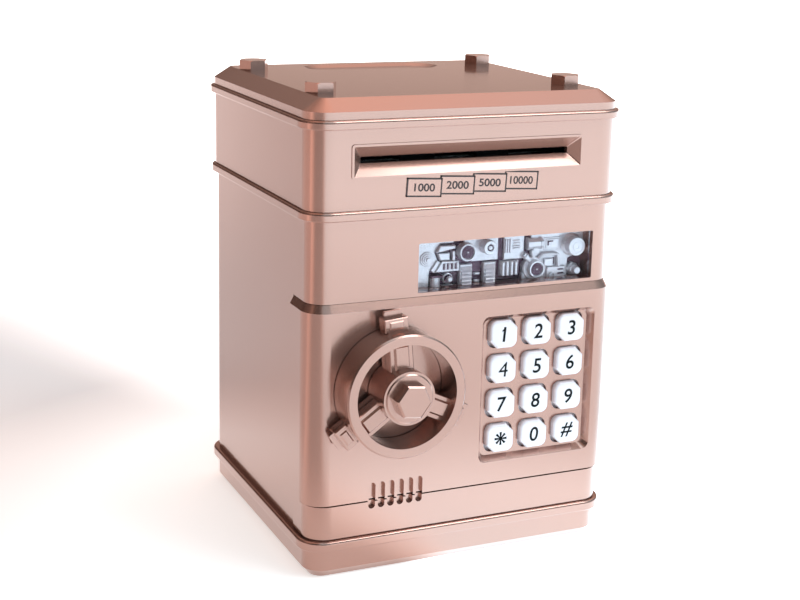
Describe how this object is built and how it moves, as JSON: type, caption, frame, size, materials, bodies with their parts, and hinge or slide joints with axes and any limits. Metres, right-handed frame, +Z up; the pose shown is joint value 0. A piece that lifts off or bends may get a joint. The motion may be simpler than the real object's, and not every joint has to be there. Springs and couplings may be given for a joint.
{
  "type": "toy safe coin bank",
  "caption": "Toy safe money box with a hinged front door, spoked hand wheel, keypad, note slot with feed rollers, machinery window and a lid with bolts and a coin slot.",
  "frame": {"origin": "middle of the flat underside of the base tray, on the surface that the bank stands on", "axes": "+Z up, -Y towards the front with the door, +X to the right as seen from the front"},
  "size_m": [0.1348, 0.1464, 0.1902],
  "materials": {
    "rose_shell": "satin rose gold metallic lacquer on moulded plastic",
    "key_white": "white moulded plastic with printed figures",
    "relief_silver": "silver metallic lacquer on moulded plastic",
    "dark_inner": "matt moulded plastic",
    "steel": "plain steel",
    "rubber": "matt rubber",
    "board": "lacquered circuit board",
    "clear_pane": "clear polished plastic sheet",
    "cell_wrap": "plain printed wrap",
    "nickel": "nickel-plated spring steel",
    "brass": "machined"
  },
  "bodies": {
    "case": {"base_tray": "rose_shell", "battery_cover": "rose_shell", "battery_cover_screw": "steel", "aa_cells": "cell_wrap", "battery_contacts": "nickel", "base_screws": "steel", "lower_housing": "rose_shell", "front_sill": "rose_shell", "upper_housing": "rose_shell", "top_lid": "rose_shell", "lid_bolts": "rose_shell", "coin_chute": "dark_inner", "note_slot_bezel": "rose_shell", "denomination_label": "rose_shell", "window_pane": "clear_pane", "machinery_panel": "relief_silver", "feed_frame": "dark_inner", "feed_frame_screws": "steel", "feed_motor": "steel", "note_deflector": "dark_inner", "control_board": "board", "hinge_pins": "steel"},
    "door": {"door_panel": "rose_shell", "door_liner": "rose_shell", "door_screws": "steel", "keypad_membrane": "rubber", "keypad_board": "board", "speaker": "dark_inner", "lock_solenoid": "steel"},
    "wheel": {"hand_wheel": "rose_shell", "hub_nut": "rose_shell", "wheel_spindle": "steel", "latch_tongue": "steel", "lock_cam": "dark_inner"},
    "plunger": {"lock_plunger": "steel"},
    "drive_roller_set": {"drive_shaft": "steel", "drive_rollers": "rubber", "drive_gear": "dark_inner"},
    "pinch_roller_set": {"pinch_shaft": "steel", "pinch_rollers": "rubber"},
    "motor_rotor": {"motor_pinion": "brass"},
    "key_1_cap": {"key_1": "key_white"},
    "key_2_cap": {"key_2": "key_white"},
    "key_3_cap": {"key_3": "key_white"},
    "key_4_cap": {"key_4": "key_white"},
    "key_5_cap": {"key_5": "key_white"},
    "key_6_cap": {"key_6": "key_white"},
    "key_7_cap": {"key_7": "key_white"},
    "key_8_cap": {"key_8": "key_white"},
    "key_9_cap": {"key_9": "key_white"},
    "key_star_cap": {"key_star": "key_white"},
    "key_0_cap": {"key_0": "key_white"},
    "key_hash_cap": {"key_hash": "key_white"}
  },
  "joints": [
    {"name": "door_hinge", "type": "hinge", "parent": "case", "child": "door", "pos_m": [0.062, -0.046, 0.07], "axis": [0, 0, 1], "range_deg": [0, 90]},
    {"name": "wheel_turn", "type": "hinge", "parent": "door", "child": "wheel", "pos_m": [-0.0313, -0.0623, 0.0755], "axis": [0, -1, 0], "range_deg": [0, 90]},
    {"name": "lock_slide", "type": "slide", "parent": "door", "child": "plunger", "axis": [-1, 0, 0], "range_m": [0, 0.0048]},
    {"name": "drive_spin", "type": "hinge", "parent": "case", "child": "drive_roller_set", "pos_m": [0, -0.044, 0.1594], "axis": [1, 0, 0], "continuous": true},
    {"name": "pinch_spin", "type": "hinge", "parent": "case", "child": "pinch_roller_set", "pos_m": [0, -0.044, 0.1664], "axis": [1, 0, 0], "continuous": true},
    {"name": "motor_spin", "type": "hinge", "parent": "case", "child": "motor_rotor", "pos_m": [0.055, -0.038, 0.14901], "axis": [1, 0, 0], "continuous": true},
    {"name": "key_1_press", "type": "slide", "parent": "door", "child": "key_1_cap", "axis": [0, 1, 0], "range_m": [0, 0.0015], "stiffness_N_per_m": 300, "springref_m": -0.0005},
    {"name": "key_2_press", "type": "slide", "parent": "door", "child": "key_2_cap", "axis": [0, 1, 0], "range_m": [0, 0.0015], "stiffness_N_per_m": 300, "springref_m": -0.0005},
    {"name": "key_3_press", "type": "slide", "parent": "door", "child": "key_3_cap", "axis": [0, 1, 0], "range_m": [0, 0.0015], "stiffness_N_per_m": 300, "springref_m": -0.0005},
    {"name": "key_4_press", "type": "slide", "parent": "door", "child": "key_4_cap", "axis": [0, 1, 0], "range_m": [0, 0.0015], "stiffness_N_per_m": 300, "springref_m": -0.0005},
    {"name": "key_5_press", "type": "slide", "parent": "door", "child": "key_5_cap", "axis": [0, 1, 0], "range_m": [0, 0.0015], "stiffness_N_per_m": 300, "springref_m": -0.0005},
    {"name": "key_6_press", "type": "slide", "parent": "door", "child": "key_6_cap", "axis": [0, 1, 0], "range_m": [0, 0.0015], "stiffness_N_per_m": 300, "springref_m": -0.0005},
    {"name": "key_7_press", "type": "slide", "parent": "door", "child": "key_7_cap", "axis": [0, 1, 0], "range_m": [0, 0.0015], "stiffness_N_per_m": 300, "springref_m": -0.0005},
    {"name": "key_8_press", "type": "slide", "parent": "door", "child": "key_8_cap", "axis": [0, 1, 0], "range_m": [0, 0.0015], "stiffness_N_per_m": 300, "springref_m": -0.0005},
    {"name": "key_9_press", "type": "slide", "parent": "door", "child": "key_9_cap", "axis": [0, 1, 0], "range_m": [0, 0.0015], "stiffness_N_per_m": 300, "springref_m": -0.0005},
    {"name": "key_star_press", "type": "slide", "parent": "door", "child": "key_star_cap", "axis": [0, 1, 0], "range_m": [0, 0.0015], "stiffness_N_per_m": 300, "springref_m": -0.0005},
    {"name": "key_0_press", "type": "slide", "parent": "door", "child": "key_0_cap", "axis": [0, 1, 0], "range_m": [0, 0.0015], "stiffness_N_per_m": 300, "springref_m": -0.0005},
    {"name": "key_hash_press", "type": "slide", "parent": "door", "child": "key_hash_cap", "axis": [0, 1, 0], "range_m": [0, 0.0015], "stiffness_N_per_m": 300, "springref_m": -0.0005}
  ],
  "couplings": [
    {"joint": "pinch_spin", "follows": "drive_spin", "ratio": -1},
    {"joint": "motor_spin", "follows": "drive_spin", "ratio": -3}
  ]
}
